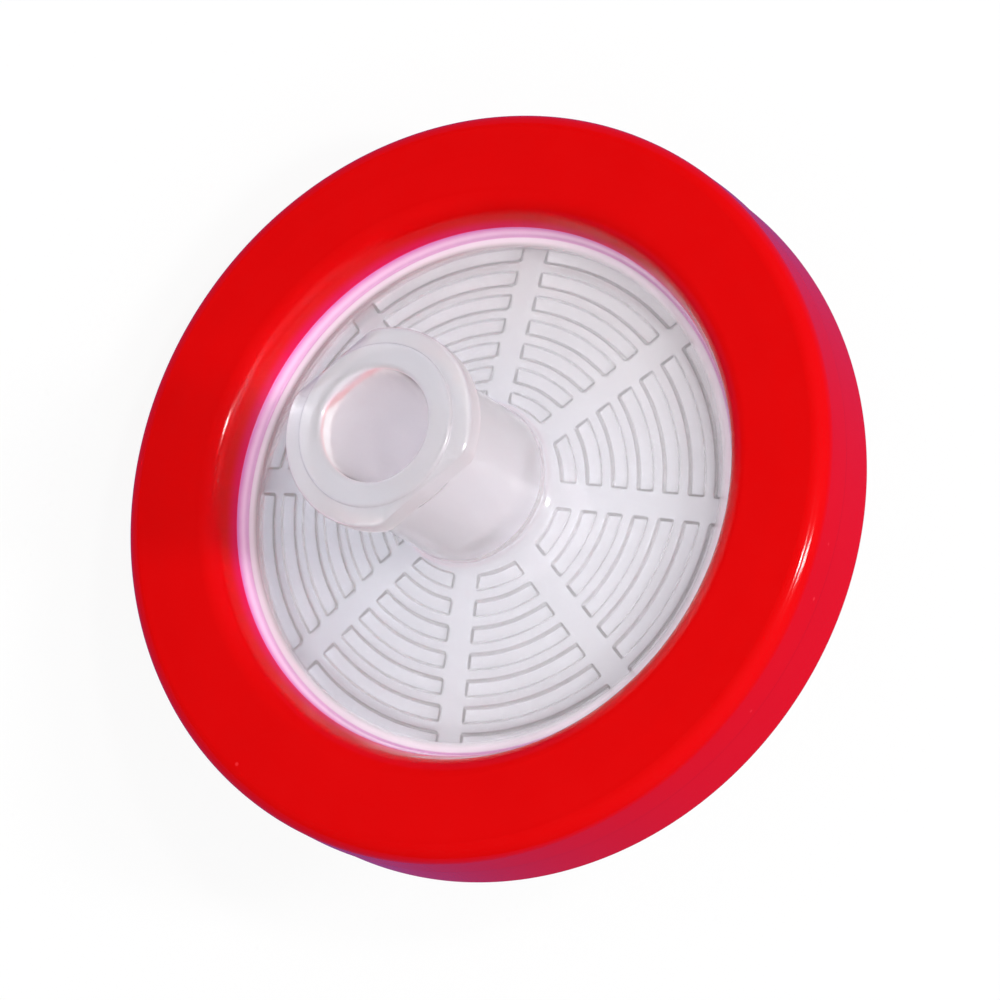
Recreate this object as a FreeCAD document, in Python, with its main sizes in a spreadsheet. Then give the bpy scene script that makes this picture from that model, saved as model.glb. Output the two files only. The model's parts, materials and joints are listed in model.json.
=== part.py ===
import FreeCAD, Part
import os
import Sketcher

# A disposable syringe filter lying on a bench. Two welded polypropylene housing halves clamp a
# membrane between them, and a red ring is moulded over their joint. It lies the way such a filter
# comes to rest: on the low edge of its ring and on the end of its outlet tip, with the inlet
# socket up and leaning towards -Y.
#
# Every piece is drawn upright about its own Z axis. Z = 0 is the plane where the two housing
# halves meet, and the inlet is above it. One placement, worked out from the sizes, lays them down.

DRIVING_SIZES = [
    # red ring: its outside, and the height of its two faces over the joint plane
    ("ring_diameter", 30.0),
    ("ring_front", 3.2),
    ("ring_back", 1.32),
    ("ring_edge_radius", 0.85),
    # the mould's parting line on the ring's wall, where the back part steps in
    ("ring_parting_height", 1.11),
    ("ring_parting_step", 0.07),
    ("ring_back_bevel_run", 0.15),
    ("ring_back_bevel_rise", 0.25),
    # the ring's sloped inner lip and the bevel between it and the front face
    ("ring_lip_run", 0.49),
    ("ring_lip_bevel_run", 0.45),
    ("ring_lip_bevel_rise", 0.29),
    # housing: the window inside the ring, the flange under it and the coned plates
    ("window_diameter", 21.32),
    ("flange_diameter", 26.4),
    ("inlet_flange_height", 1.87),
    ("outlet_flange_height", 0.75),
    ("floor_edge_height", 1.31),
    ("floor_edge_run", 0.16),
    ("cone_angle", 8.8),
    ("inlet_wall", 0.9),
    ("outlet_wall", 0.8),
    ("chamber_diameter", 20.9),
    # inlet side: arc ribs in rows, with straight channels between them
    ("rib_height", 0.35),
    ("rib_start_radius", 3.37),
    ("rib_width", 0.58),
    ("rib_pitch", 1.017),
    ("rib_root", 0.15),
    ("spoke_width", 1.07),
    # outlet side: straight ribs that point at the tip and carry the membrane
    ("outlet_rib_height", 0.35),
    ("outlet_rib_width", 0.45),
    ("outlet_rib_start_radius", 3.2),
    ("outlet_rib_end_gap", 0.35),
    # inlet: female luer lock socket with two lugs
    ("barrel_diameter", 6.4),
    ("barrel_top", 11.15),
    ("barrel_foot_bevel", 0.3),
    ("barrel_rim_bevel", 0.12),
    ("socket_mouth", 4.3),
    ("socket_depth", 7.5),
    ("socket_chamfer", 0.12),
    ("luer_taper", 0.06),
    ("passage_diameter", 2.4),
    ("lug_diameter", 7.8),
    ("lug_flats", 6.6),
    ("lug_drop", 0.15),
    ("lug_slope", 0.15),
    ("lug_edge_height", 0.85),
    ("lug_underside", 0.35),
    # outlet: male luer slip tip on a short collar
    ("collar_diameter", 6.0),
    ("collar_length", 1.0),
    ("collar_bevel", 0.25),
    ("tip_length", 7.8),
    ("tip_diameter", 3.96),
    ("tip_bevel_run", 0.12),
    ("tip_bevel_rise", 0.3),
    ("tip_bore", 2.0),
    # membrane
    ("membrane_diameter", 25.0),
    ("membrane_thickness", 0.2),
    ("membrane_clearance", 0.05),
    # how far the filter has rolled round its own axis as it lies
    ("turn", -20.7),
]
RIB_ROWS = 7
SPOKES = 8
OUTLET_RIBS = 16

document = FreeCAD.newDocument("SyringeFilter")
sheet = document.addObject("Spreadsheet::Sheet", "Sizes")
for row, (alias, number) in enumerate(DRIVING_SIZES, start=1):
    sheet.set(f"A{row}", alias)
    sheet.set(f"B{row}", str(number))
    sheet.setAlias(f"B{row}", alias)
document.recompute()


# ---- expressions that several pieces share ----

def size(alias):
    """Return the expression that reads one driving size."""
    return f"Sizes.{alias}"


def half(alias):
    """Return the expression for half of one driving size."""
    return f"(Sizes.{alias} / 2)"


floor_radius = f"({half('window_diameter')} - {size('floor_edge_run')})"


def cone_rise(radius):
    """Return how far the coned plates have risen from the edge of the window floor at a radius."""
    return f"(({floor_radius} - {radius}) * tan({size('cone_angle')} * 1deg))"


def inlet_outside(radius):
    """Return the height of the inlet plate's outer face at a radius."""
    return f"({size('floor_edge_height')} + {cone_rise(radius)})"


def inlet_inside(radius):
    """Return the height of the inlet plate's inner face at a radius."""
    return f"({inlet_outside(radius)} - {size('inlet_wall')})"


outlet_inside = f"(-{size('membrane_thickness')} - {size('outlet_rib_height')})"


def outlet_outside(radius):
    """Return the height of the outlet plate's outer face at a radius."""
    return f"({outlet_inside} - {size('outlet_wall')} - {cone_rise(radius)})"


ring_radius = half("ring_diameter")
window_radius = half("window_diameter")
flange_radius = half("flange_diameter")
chamber_radius = half("chamber_diameter")
barrel_radius = half("barrel_diameter")
lug_radius = half("lug_diameter")
collar_radius = half("collar_diameter")
tip_radius = half("tip_diameter")
membrane_radius = half("membrane_diameter")
collar_end = f"({outlet_outside(collar_radius)} - {size('collar_length')})"
tip_end = f"({collar_end} - {size('tip_length')})"

# the middle of the ring's rounded front edge, halfway round its radius
edge_inset = f"({size('ring_edge_radius')} * (1 - cos(45deg)))"
edge_middle_radius = f"({ring_radius} - {edge_inset})"
edge_middle_height = f"({size('ring_front')} - {edge_inset})"

# the two circles that touch the bench
ring_wall_back = f"({ring_radius} - {size('ring_parting_step')})"
ring_contact_radius = f"({ring_wall_back} - {size('ring_back_bevel_run')})"
tip_contact_radius = f"({tip_radius} - {size('tip_bevel_run')})"


# ---- drawing helpers ----

def value_of(expression):
    """Return an expression's present value as a plain number."""
    result = sheet.evalExpression(expression)
    return float(getattr(result, "Value", result))


def hold_point(sketch, geometry, end, across, up):
    """Dimension one point of a sketch from its origin, both ways."""
    for kind, expression in (("DistanceX", across), ("DistanceY", up)):
        datum = value_of(expression)
        number = sketch.addConstraint(Sketcher.Constraint(kind, -1, 1, geometry, end, datum))
        sketch.setExpression(f"Constraints[{number}]", expression)


def draw_outline(sketch, corners):
    """Close a straight-sided outline through (across, up) corners, each one an expression."""
    points = [FreeCAD.Vector(value_of(across), value_of(up), 0) for across, up in corners]
    sides = []
    for start, end in zip(points, points[1:] + points[:1]):
        sides.append(sketch.addGeometry(Part.LineSegment(start, end), False))
    for index, (across, up) in enumerate(corners):
        joint = Sketcher.Constraint("Coincident", sides[index - 1], 2, sides[index], 1)
        sketch.addConstraint(joint)
        hold_point(sketch, sides[index], 1, across, up)


def body_sketch(body, name, plane):
    """Return a new sketch on one of the body's own origin planes."""
    sketch = body.newObject("Sketcher::SketchObject", name)
    planes = {feature.Role: feature for feature in body.Origin.OriginFeatures}
    sketch.AttachmentSupport = (planes[plane], "")
    sketch.MapMode = "FlatFace"
    return sketch


def turned(body, name, corners):
    """Add a half outline, turned a full circle about the body's Z axis."""
    sketch = body_sketch(body, f"{name}_outline", "XZ_Plane")
    draw_outline(sketch, corners)
    revolution = body.newObject("PartDesign::Revolution", name)
    revolution.Profile = sketch
    revolution.ReferenceAxis = (sketch, ["V_Axis"])
    revolution.Angle = 360
    document.recompute()
    return revolution


def new_body(name):
    """Return an empty body."""
    return document.addObject("PartDesign::Body", name)


# ---- inlet housing half ----

def inlet_shell():
    """Turn the inlet plate, its flange and the luer socket in one outline, and add the lugs."""
    body = new_body("inlet_shell")
    passage_radius = half("passage_diameter")
    mouth_radius = half("socket_mouth")
    narrowing = f"({size('luer_taper')} / 2)"
    chamfer_end = f"({size('barrel_top')} - {size('socket_chamfer')})"
    socket_end = f"({size('barrel_top')} - {size('socket_depth')})"
    socket_end_radius = f"({mouth_radius} - {narrowing} * {size('socket_depth')})"
    foot_radius = f"({barrel_radius} + {size('barrel_foot_bevel')})"
    turned(body, "plate_and_socket", [
        (passage_radius, inlet_inside(passage_radius)),
        (chamber_radius, inlet_inside(chamber_radius)),
        (chamber_radius, "0"),
        (flange_radius, "0"),
        (flange_radius, size("inlet_flange_height")),
        (window_radius, size("inlet_flange_height")),
        (floor_radius, size("floor_edge_height")),
        (foot_radius, inlet_outside(foot_radius)),
        (barrel_radius, f"({inlet_outside(foot_radius)} + {size('barrel_foot_bevel')})"),
        (barrel_radius, f"({size('barrel_top')} - {size('barrel_rim_bevel')})"),
        (f"({barrel_radius} - {size('barrel_rim_bevel')})", size("barrel_top")),
        (f"({mouth_radius} + {size('socket_chamfer')})", size("barrel_top")),
        (f"({mouth_radius} - {narrowing} * {size('socket_chamfer')})", chamfer_end),
        (socket_end_radius, socket_end),
        (passage_radius, socket_end),
    ])
    root = f"({barrel_radius} + {mouth_radius}) / 2"
    top = f"({size('barrel_top')} - {size('lug_drop')})"
    edge_top = f"({top} - {size('lug_slope')})"
    edge_bottom = f"({edge_top} - {size('lug_edge_height')})"
    bottom = f"({edge_bottom} - {size('lug_underside')})"
    turned(body, "lug_band", [
        (root, bottom),
        (barrel_radius, bottom),
        (lug_radius, edge_bottom),
        (lug_radius, edge_top),
        (barrel_radius, top),
        (root, top),
    ])
    cut_lug_flats(body, f"({size('barrel_top')} - {bottom})")
    return body


def cut_lug_flats(body, depth):
    """Cut the lug band to two lugs with a flat on each side, from the end face down."""
    sketch = body_sketch(body, "lug_flats_outline", "XY_Plane")
    sketch.setExpression("AttachmentOffset.Base.z", size("barrel_top"))
    flat = half("lug_flats")
    for side in ("", "-"):
        draw_outline(sketch, [
            (f"-{lug_radius}", f"{side}{flat}"),
            (lug_radius, f"{side}{flat}"),
            (lug_radius, f"{side}{lug_radius}"),
            (f"-{lug_radius}", f"{side}{lug_radius}"),
        ])
    before = body.Shape.Volume
    pocket = body.newObject("PartDesign::Pocket", "lug_flats_cut")
    pocket.Profile = sketch
    pocket.Type = "Length"
    pocket.setExpression("Length", depth)
    body.Tip = pocket
    document.recompute()
    if not body.Shape.Volume < before:
        raise ValueError("the lug flats cut nothing")


# ---- ribs ----

def rib_rows(name, crest, root):
    """Turn one rib of every row a full circle. crest and root give heights at a radius.

    Each row has a flat crest, so the rows step up together with the plate's slope.
    """
    sketch = document.addObject("Sketcher::SketchObject", f"{name}_outline")
    sketch.Placement.Rotation = FreeCAD.Rotation(FreeCAD.Vector(1, 0, 0), 90)
    for row in range(RIB_ROWS):
        near = f"({size('rib_start_radius')} + {row} * {size('rib_pitch')})"
        far = f"({near} + {size('rib_width')})"
        draw_outline(sketch, [
            (near, crest(near)),
            (far, crest(near)),
            (far, root(far)),
            (near, root(near)),
        ])
    rows = document.addObject("Part::Revolution", f"{name}_rows")
    rows.Source = sketch
    rows.Axis = FreeCAD.Vector(0, 0, 1)
    rows.Angle = 360
    rows.Solid = True
    return rows


def spoke_channels(name):
    """Cross bars, one for each pair of opposite straight channels, as tall as the ring."""
    bars = []
    for index in range(SPOKES // 2):
        bar = document.addObject("Part::Box", f"{name}_channel_{index + 1}")
        length = size("ring_diameter")
        width = size("spoke_width")
        height = f"({size('ring_front')} + {size('ring_back')}) * 2"
        bar.setExpression("Length", length)
        bar.setExpression("Width", width)
        bar.setExpression("Height", height)
        spin = f"rotation(vector(0; 0; 1); {index} * 360 / {SPOKES})"
        corner = f"vector(-{length} / 2; -{width} / 2; -({height}) / 2)"
        bar.setExpression("Placement", f"placement(vector(0; 0; 0); {spin}) * "
                                       f"placement({corner}; rotation(vector(0; 0; 1); 0))")
        bars.append(bar)
    channels = document.addObject("Part::MultiFuse", f"{name}_channels")
    channels.Shapes = bars
    return channels


def ribs(name, crest, root):
    """Cut the rows of ribs into arcs with the straight channels."""
    arcs = document.addObject("Part::Cut", f"{name}_arcs")
    arcs.Base = rib_rows(name, crest, root)
    arcs.Tool = spoke_channels(name)
    return arcs


def joined(name, pieces):
    """Fuse what is moulded in one piece."""
    piece = document.addObject("Part::MultiFuse", name)
    piece.Shapes = pieces
    return piece


def inlet_housing():
    """The upper half: coned plate, luer lock socket and ribs that follow the plate's slope."""
    def crest(radius):
        return f"({inlet_inside(radius)} - {size('rib_height')})"

    def root(radius):
        return f"({inlet_inside(radius)} + {size('rib_root')})"

    return joined("inlet_housing", [inlet_shell(), ribs("inlet_rib", crest, root)])


# ---- outlet housing half ----

def outlet_shell():
    """Turn the outlet plate, the membrane's recess, the collar and the luer tip in one outline."""
    body = new_body("outlet_housing")
    bore_radius = half("tip_bore")
    tip_root_radius = f"({tip_radius} + {size('luer_taper')} / 2 * {size('tip_length')})"
    membrane_back = f"-{size('membrane_thickness')}"
    recess_radius = f"({membrane_radius} + {size('membrane_clearance')})"
    flange_back = f"-{size('outlet_flange_height')}"
    foot_radius = f"({collar_radius} + {size('collar_bevel')})"
    turned(body, "plate_and_tip", [
        (bore_radius, outlet_inside),
        (chamber_radius, outlet_inside),
        (chamber_radius, membrane_back),
        (recess_radius, membrane_back),
        (recess_radius, "0"),
        (flange_radius, "0"),
        (flange_radius, flange_back),
        (window_radius, flange_back),
        (window_radius, outlet_outside(window_radius)),
        (foot_radius, outlet_outside(foot_radius)),
        (collar_radius, f"({outlet_outside(foot_radius)} - {size('collar_bevel')})"),
        (collar_radius, f"({collar_end} + {size('collar_bevel')})"),
        (f"({collar_radius} - {size('collar_bevel')})", collar_end),
        (tip_root_radius, collar_end),
        (tip_radius, f"({tip_end} + {size('tip_bevel_rise')})"),
        (tip_contact_radius, tip_end),
        (bore_radius, tip_end),
    ])
    return body


def outlet_housing():
    """The lower half: coned plate and luer tip, and straight ribs whose crests carry the membrane."""
    body = outlet_shell()
    sketch = body_sketch(body, "outlet_rib_outline", "XZ_Plane")
    near = size("outlet_rib_start_radius")
    far = f"({chamber_radius} - {size('outlet_rib_end_gap')})"
    crest = f"-{size('membrane_thickness')}"
    draw_outline(sketch, [
        (near, crest),
        (far, crest),
        (far, f"({outlet_inside} - {size('rib_root')})"),
        (near, f"({outlet_inside} - {size('rib_root')})"),
    ])
    rib = body.newObject("PartDesign::Pad", "outlet_rib")
    rib.Profile = sketch
    rib.SideType = "Symmetric"
    rib.setExpression("Length", size("outlet_rib_width"))
    document.recompute()
    circle = body.newObject("PartDesign::PolarPattern", "outlet_ribs")
    circle.Originals = [rib]
    circle.Axis = (sketch, ["V_Axis"])
    circle.Angle = 360
    circle.Occurrences = OUTLET_RIBS
    body.Tip = circle
    return body


# ---- membrane and ring ----

def membrane():
    """A thin disc that fills the recess under the joint plane."""
    disc = document.addObject("Part::Cylinder", "membrane")
    disc.setExpression("Radius", membrane_radius)
    disc.setExpression("Height", size("membrane_thickness"))
    return disc


def ring():
    """The overmoulded ring: a C section that wraps both flanges, with a sloped lip in front.

    The front edge is rounded by two flats whose corners lie on its radius.
    """
    body = new_body("ring")
    front = size("ring_front")
    edge = size("ring_edge_radius")
    back = f"-{size('ring_back')}"
    flange_front = size("inlet_flange_height")
    flange_back = f"-{size('outlet_flange_height')}"
    lip_radius = f"({window_radius} + {size('ring_lip_run')})"
    parting = size("ring_parting_height")
    turned(body, "ring_section", [
        (window_radius, flange_front),
        (lip_radius, f"({front} - {size('ring_lip_bevel_rise')})"),
        (f"({lip_radius} + {size('ring_lip_bevel_run')})", front),
        (f"({ring_radius} - {edge})", front),
        (edge_middle_radius, edge_middle_height),
        (ring_radius, f"({front} - {edge})"),
        (ring_radius, parting),
        (ring_wall_back, parting),
        (ring_wall_back, f"({back} + {size('ring_back_bevel_rise')})"),
        (ring_contact_radius, back),
        (window_radius, back),
        (window_radius, flange_back),
        (flange_radius, flange_back),
        (flange_radius, flange_front),
    ])
    return body


# ---- how the filter lies ----

def lying_placement(drop):
    """Return the placement expression for a piece whose own origin is drop above the joint plane.

    The bench touches the back rim of the ring and the end of the tip, which are two circles about
    the filter's axis, so the lean is the slope between them. The box round the ring, from the
    rounded front edge to the back rim, is then centred on the origin.
    """
    out = f"({ring_contact_radius} - {tip_contact_radius})"
    down = f"(-{tip_end} - {size('ring_back')})"
    lean = f"atan({down} / {out})"
    height = f"({ring_contact_radius} * sin({lean}) + {size('ring_back')} * cos({lean}))"
    front_reach = f"({edge_middle_radius} * cos({lean}) + {edge_middle_height} * sin({lean}))"
    back_reach = f"({ring_contact_radius} * cos({lean}) + {size('ring_back')} * sin({lean}))"
    middle = f"(({front_reach} - {back_reach}) / 2)"
    lay = f"rotation(vector(1; 0; 0); {lean}) * rotation(vector(0; 0; 1); {size('turn')})"
    laid = f"placement(vector(0; {middle}; {height}); {lay})"
    return f"{laid} * placement(vector(0; 0; {drop}); rotation(vector(0; 0; 1); 0))"


nodes = {
    "inlet_housing": inlet_housing(),
    "outlet_housing": outlet_housing(),
    "membrane": membrane(),
    "ring": ring(),
}
for name, piece in nodes.items():
    piece.Label = name
    drop = f"-{size('membrane_thickness')}" if name == "membrane" else "0"
    piece.setExpression("Placement", lying_placement(drop))
document.recompute()

for thing in document.Objects:
    if {"Invalid", "Error"} & set(thing.State):
        raise ValueError(f"{thing.Name} did not build: {thing.State}")
for name, piece in nodes.items():
    if piece.Shape.isNull() or not piece.Shape.isValid():
        raise ValueError(f"{name} has no valid shape")
    if len(piece.Shape.Solids) != 1:
        raise ValueError(f"{name} is {len(piece.Shape.Solids)} solids")

os.makedirs("parts", exist_ok=True)
for name, piece in nodes.items():
    piece.Shape.exportStep(f"parts/{name}.step")
    box = piece.Shape.BoundBox
    print(f"{name}: {piece.Shape.Volume:.1f} mm3, "
          f"x {box.XMin:.3f} to {box.XMax:.3f}, "
          f"y {box.YMin:.3f} to {box.YMax:.3f}, "
          f"z {box.ZMin:.3f} to {box.ZMax:.3f}")
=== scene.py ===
# %% [markdown]
# # A syringe filter in natural and red polypropylene
#
# A syringe filter is a small welded disc. Liquid enters through the socket on its upper half,
# spreads between arc ribs, passes a membrane and leaves through the tip below. This lesson builds
# the visible surfaces round the imported CAD model as formulas on grids, and gives them the finishes
# of moulded plastic. The sizes are the CAD model's, apart from a few edge radii and the depth of
# the ribs.
#
# The CAD model is loaded first and never changed.

# %% Load the imported model
import json
import math

import bpy
import numpy as np
from mathutils import Matrix, Vector


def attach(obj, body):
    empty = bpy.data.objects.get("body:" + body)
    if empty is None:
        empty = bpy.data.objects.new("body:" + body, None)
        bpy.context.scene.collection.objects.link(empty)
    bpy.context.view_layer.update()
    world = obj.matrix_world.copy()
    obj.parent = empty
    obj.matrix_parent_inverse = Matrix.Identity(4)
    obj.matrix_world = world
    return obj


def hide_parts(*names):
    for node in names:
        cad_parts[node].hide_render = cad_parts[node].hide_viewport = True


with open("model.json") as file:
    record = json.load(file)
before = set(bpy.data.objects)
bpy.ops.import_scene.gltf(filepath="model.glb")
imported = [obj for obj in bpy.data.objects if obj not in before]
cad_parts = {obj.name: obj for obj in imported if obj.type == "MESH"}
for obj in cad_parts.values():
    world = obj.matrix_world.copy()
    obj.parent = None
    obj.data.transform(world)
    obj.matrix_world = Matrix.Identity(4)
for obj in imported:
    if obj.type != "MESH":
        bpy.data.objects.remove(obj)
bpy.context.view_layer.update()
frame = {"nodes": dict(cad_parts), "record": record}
print("CAD nodes:", sorted(frame["nodes"]))

# %% [markdown]
# ## Where the filter lies
#
# The filter lies on the edge of its ring and on the end of its tip, so its own axis leans. Each
# piece could be drawn leaning, but it is far easier to draw it upright, in millimetres, round the
# Z axis, with height 0 at the welded joint. The record says where the socket's mouth is and which
# way it points. From those two facts, and from how far the filter has rolled, comes one matrix
# that carries an upright filter to its place.

# %% Find the filter's own axis
MM = 0.001
MOUTH_HEIGHT = 11.15  # the socket's end over the joint
TURN = math.radians(-20.7)  # how far the filter has rolled round its own axis

mounts = {mount["name"]: mount for mount in frame["record"]["mounts"]}
axis = Vector(mounts["inlet_socket"]["axis"]).normalized()
mouth = Vector(mounts["inlet_socket"]["pos_m"])
joint_centre = mouth - axis * MOUTH_HEIGHT * MM
lean = math.atan2(-axis.y, axis.z)
lay_down = (Matrix.Translation(joint_centre) @ Matrix.Rotation(lean, 4, "X")
            @ Matrix.Rotation(TURN, 4, "Z") @ Matrix.Scale(MM, 4))
print(f"the axis leans {math.degrees(lean):.2f} degrees")

# %% [markdown]
# ## One way to make every piece
#
# Each moulding is round, so its surface is a function of two parameters: how far along its
# section, and how far round the axis. Blender's Spin tool could turn a drawn section, but it
# can't make ribs or lugs on the way. Here the radius and height may both change with the angle,
# so one grid holds a whole moulding without a seam. Both parameters close on themselves, which
# makes the surface a watertight torus, as a part with a hole through it should be.

# %% Put a grid into a mesh
def grid_mesh(name, points, quads):
    """Put points in millimetres and four-cornered faces into a mesh, laid where the filter lies.

    A point's place is the 3 by 3 part of lay_down times the point, plus lay_down's shift.
    """
    lay = np.array(lay_down)
    placed = points @ lay[:3, :3].T + lay[:3, 3]
    mesh = bpy.data.meshes.new(name)
    mesh.vertices.add(len(placed))
    mesh.vertices.foreach_set("co", placed.astype(np.float32).ravel())
    mesh.loops.add(quads.size)
    mesh.loops.foreach_set("vertex_index", quads.astype(np.int32).ravel())
    mesh.polygons.add(len(quads))
    mesh.polygons.foreach_set("loop_start", np.arange(0, quads.size, 4, dtype=np.int32))
    mesh.polygons.foreach_set("use_smooth", np.ones(len(quads), dtype=bool))
    mesh.update(calc_edges=True)
    mesh.validate()
    piece = bpy.data.objects.new(name, mesh)
    bpy.context.scene.collection.objects.link(piece)
    print(f"{name}: {len(placed)} points, {len(quads)} faces")
    return piece


# %% Close a grid into a moulding
def closed_grid(name, radius, height, angle, flank=None):
    """Mesh of a torus-like grid.

    Row i is a place on the section and column j a place round the axis. The point is
    (radius * cos(angle), radius * sin(angle), height), and both rows and columns wrap round.
    The faces point outwards when the section runs counterclockwise, which is when the sum of
    radius * next height - next radius * height is above zero, so other sections are reversed.
    A share for each point, if given, becomes the attribute flank, which a finish can read.
    """
    rows, columns = np.broadcast_shapes(radius.shape, height.shape, angle.shape)
    across = np.broadcast_to(radius, (rows, columns))[:, 0]
    up = np.broadcast_to(height, (rows, columns))[:, 0]
    winding = (across * np.roll(up, -1) - np.roll(across, -1) * up).sum()
    if winding < 0:
        radius, height, angle = radius[::-1], height[::-1], angle[::-1]
        flank = None if flank is None else flank[::-1]
    points = np.empty((rows, columns, 3))
    points[..., 0] = radius * np.cos(angle)
    points[..., 1] = radius * np.sin(angle)
    points[..., 2] = height
    index = np.arange(rows * columns).reshape(rows, columns)
    below = np.roll(index, -1, axis=0)
    beside = np.roll(index, -1, axis=1)
    opposite = np.roll(below, -1, axis=1)
    quads = np.stack([index, beside, opposite, below], axis=-1).reshape(-1, 4)
    piece = grid_mesh(name, points.reshape(-1, 3), quads)
    if flank is not None:
        marks = piece.data.attributes.new("flank", "FLOAT", "POINT")
        marks.data.foreach_set("value", flank.astype(np.float32).ravel())
    return piece


# %% [markdown]
# ## Rounded edges
#
# A moulded edge is never sharp. A Bevel modifier could round the finished mesh, but it would cut
# through the ribs' grid lines. Instead each section is written as a few corners with a radius, and
# every corner becomes an arc. A short straight step before and after each arc keeps the flat faces
# flat when Blender smooths the shading.

# %% Round a section's corners
HOLD = 0.004  # length of the straight step beside an arc
ARC_POINTS = 8


def rounded_section(corners):
    """Points of a closed outline whose corners (across, up, radius) are rounded.

    An arc of radius r between two sides that meet at the angle a starts r / tan(a / 2) from the
    corner, and its centre lies r / sin(a / 2) away along the line that halves the angle.
    """
    corner = np.array([c[:2] for c in corners], dtype=float)
    radius = np.array([c[2] for c in corners], dtype=float)
    back = np.roll(corner, 1, axis=0) - corner
    ahead = np.roll(corner, -1, axis=0) - corner
    back /= np.linalg.norm(back, axis=1, keepdims=True)
    ahead /= np.linalg.norm(ahead, axis=1, keepdims=True)
    half = np.arccos(np.clip((back * ahead).sum(1), -1, 1)) / 2
    setback = radius / np.tan(half)
    middle = back + ahead
    middle /= np.linalg.norm(middle, axis=1, keepdims=True)
    centre = corner + middle * (radius / np.sin(half))[:, None]
    start = corner + back * setback[:, None]
    finish = corner + ahead * setback[:, None]
    share = np.linspace(0, 1, ARC_POINTS)
    first = start - centre
    sweep = np.pi - 2 * half
    side = np.sign(first[:, 0] * (finish - centre)[:, 1] - first[:, 1] * (finish - centre)[:, 0])
    turn = (side * sweep)[:, None] * share
    cosine, sine = np.cos(turn), np.sin(turn)
    arc = np.stack([centre[:, :1] + first[:, :1] * cosine - first[:, 1:] * sine,
                    centre[:, 1:] + first[:, :1] * sine + first[:, 1:] * cosine], axis=-1)
    before = (start + back * HOLD)[:, None, :]
    after = (finish + ahead * HOLD)[:, None, :]
    return np.concatenate([before, arc, after], axis=1).reshape(-1, 2)


square = [(0, 0, 0.1), (1, 0, 0.1), (1, 1, 0.1), (0, 1, 0.1)]
print("a rounded square has", len(rounded_section(square)), "points")

# %% [markdown]
# ## The red ring
#
# The ring is moulded over the welded joint, so it is a C-shaped section turned once round, and
# its hollow holds the flanges of both halves. A torus with cuts could stand for it, but only a
# section has the right edges. From the window outwards there are a sloped lip, a front face that
# is a little crowned, a generous outer edge, and a fine step on the wall where the two halves of
# the mould met. Pieces reach a hundredth of a millimetre into each other, so that no light slips
# between them.

# %% Turn the ring
RING_COLUMNS = 360
BITE = 0.01  # how far a piece reaches into its neighbour
CRISP = 0.005  # radius of an edge that no one sees
FLANGE = 13.2  # outer radius of both halves
FLANGE_FRONT = 1.87
FLANGE_BACK = -0.75
LIP_FOOT = 10.62  # radius where the lip meets the inlet half
LIP_TOP = 11.12
FRONT = 3.19
EDGE_FRONT = (14.97, 3.11)  # where the crowned face would meet the wall
RING_RADIUS = 15.0
PARTING = 1.11  # height of the step on the wall
PARTING_STEP = 0.07
PARTING_DROP = 0.02
BACK = -1.32
BACK_HOLE = 10.66

ring_back_wall = RING_RADIUS - PARTING_STEP
ring_section = rounded_section([
    (LIP_FOOT, FLANGE_FRONT - BITE, CRISP),
    (LIP_TOP, FRONT, 0.9),
    (FLANGE, FRONT, 3.0),
    (*EDGE_FRONT, 0.68),
    (RING_RADIUS, PARTING, 0.02),
    (ring_back_wall, PARTING - PARTING_DROP, 0.02),
    (ring_back_wall, BACK, 0.25),
    (BACK_HOLE + 0.02, BACK, 0.2),
    (BACK_HOLE, FLANGE_BACK + BITE, CRISP),
    (FLANGE - BITE, FLANGE_BACK + BITE, CRISP),
    (FLANGE - BITE, FLANGE_FRONT - BITE, CRISP),
])
around = np.linspace(0, 2 * np.pi, RING_COLUMNS, endpoint=False)[None, :]
red_ring = closed_grid("red_ring", ring_section[:, :1], ring_section[:, 1:], around)

# %% [markdown]
# ## The inlet half
#
# The inlet half is one clear moulding: a coned plate with a luer lock socket on top and seven
# rows of arc ribs under it. Eight straight channels cut every row into arcs. The ribs could be
# separate blocks, but light would then cross hidden faces inside the plastic. So the ribs are a
# bulge of the plate's own inner surface: at each point of the grid the surface sinks from the
# plate to the rib's crest by the product of two smooth steps, one across the rib and one along it.

# %% Smooth steps and the plate's slope
CONE = math.tan(math.radians(8.8))
FLOOR_EDGE = 10.5  # radius where the coned floor of the window ends
FLOOR_HEIGHT = 1.31
INLET_WALL = 0.9


def eased(share):
    """Ease from 0 to 1: three times the square less twice the cube, flat at both ends."""
    share = np.clip(share, 0, 1)
    return share * share * (3 - 2 * share)


def plate_top(radius):
    """Height of the inlet plate's outer face: its edge height plus the cone's rise inwards."""
    return FLOOR_HEIGHT + (FLOOR_EDGE - radius) * CONE


print(f"the plate is {plate_top(0) - FLOOR_HEIGHT:.2f} mm higher in its middle than at its edge")

# %% Lay out the rib rows
ROWS = 7
RIB_START = 3.37  # radius where the first row starts
RIB_PITCH = 1.017
RIB_WIDTH = 0.58
RIB_DROP = 0.28  # how far a crest stands under the plate
FLANK = 0.14  # width of a rib's sloped side
FLANK_LINES = 7  # grid lines across a sloped side

# a sloped side, centred on the rib's edge, and how much of the rib stands on each of its lines
across_flank = np.linspace(-0.5, 0.5, FLANK_LINES)
up_flank = eased(np.linspace(0, 1, FLANK_LINES))
across_rib = np.concatenate([across_flank * FLANK, [RIB_WIDTH / 2],
                             RIB_WIDTH + across_flank * FLANK])
rise_across = np.concatenate([up_flank, [1], up_flank[::-1]])

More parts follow.
